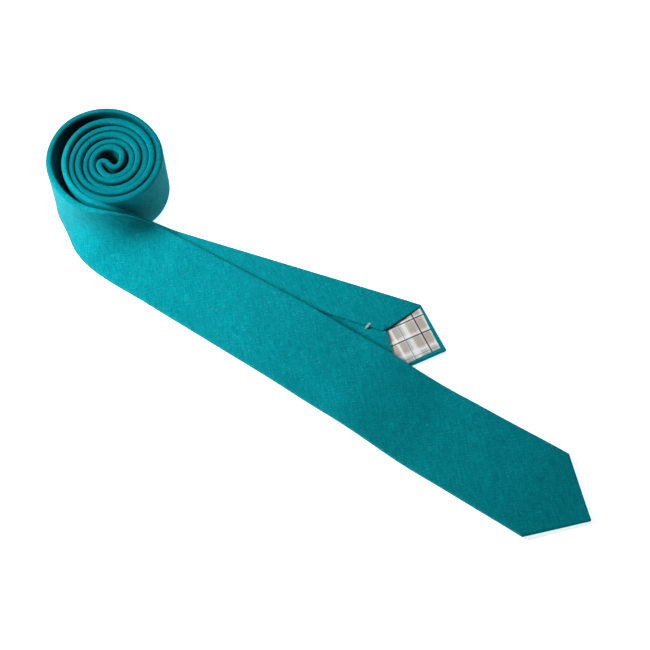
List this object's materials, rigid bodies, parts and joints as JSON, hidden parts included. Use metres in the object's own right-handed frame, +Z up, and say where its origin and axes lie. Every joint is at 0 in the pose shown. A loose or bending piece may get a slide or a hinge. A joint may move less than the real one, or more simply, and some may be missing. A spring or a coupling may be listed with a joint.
{
  "type": "necktie",
  "caption": "Slim folded-cloth necktie, rolled up on its edge with the pointed front blade and checked-lined tail lying flat.",
  "frame": {"origin": "centre of the whole outline in plan, on the surface that the tie rests on", "axes": "+X along the lying front blade towards its point, +Y towards the side that the tail lies on, +Z up"},
  "size_m": [0.4064, 0.1036, 0.0461],
  "materials": {
    "outer_cloth": "matt plain weave with fine slubs",
    "interlining_wool": "brushed",
    "tipping_check": "smooth checked lining",
    "sewing_thread": "twisted thread"
  },
  "bodies": {
    "roll": {"blade_shell_rolled": "outer_cloth", "neck_shell": "outer_cloth", "tail_shell_rolled": "outer_cloth", "blade_interlining_rolled": "interlining_wool", "neck_interlining": "interlining_wool", "tail_interlining_rolled": "interlining_wool", "blade_neck_join": "sewing_thread", "neck_tail_join": "sewing_thread", "rolled_slip_stitch": "sewing_thread"},
    "front_blade": {"blade_shell": "outer_cloth", "blade_interlining": "interlining_wool", "blade_tipping": "tipping_check", "blade_bar_tack": "sewing_thread", "blade_slip_stitch": "sewing_thread", "keeper_loop": "outer_cloth", "keeper_loop_stitches": "sewing_thread"},
    "tail": {"tail_shell": "outer_cloth", "tail_interlining": "interlining_wool", "tail_tipping": "tipping_check", "tail_bar_tack": "sewing_thread", "tail_slip_stitch": "sewing_thread"}
  },
  "joints": [
    {"name": "front_blade_lift", "type": "hinge", "parent": "roll", "child": "front_blade", "pos_m": [-0.11839, -0.02188, 0.0116], "axis": [0, -1, 0], "range_deg": [0, 60]},
    {"name": "tail_swing", "type": "hinge", "parent": "roll", "child": "tail", "pos_m": [-0.12043, 0.00716, 0.00205], "axis": [0, 0, 1], "range_deg": [0, 12]}
  ]
}
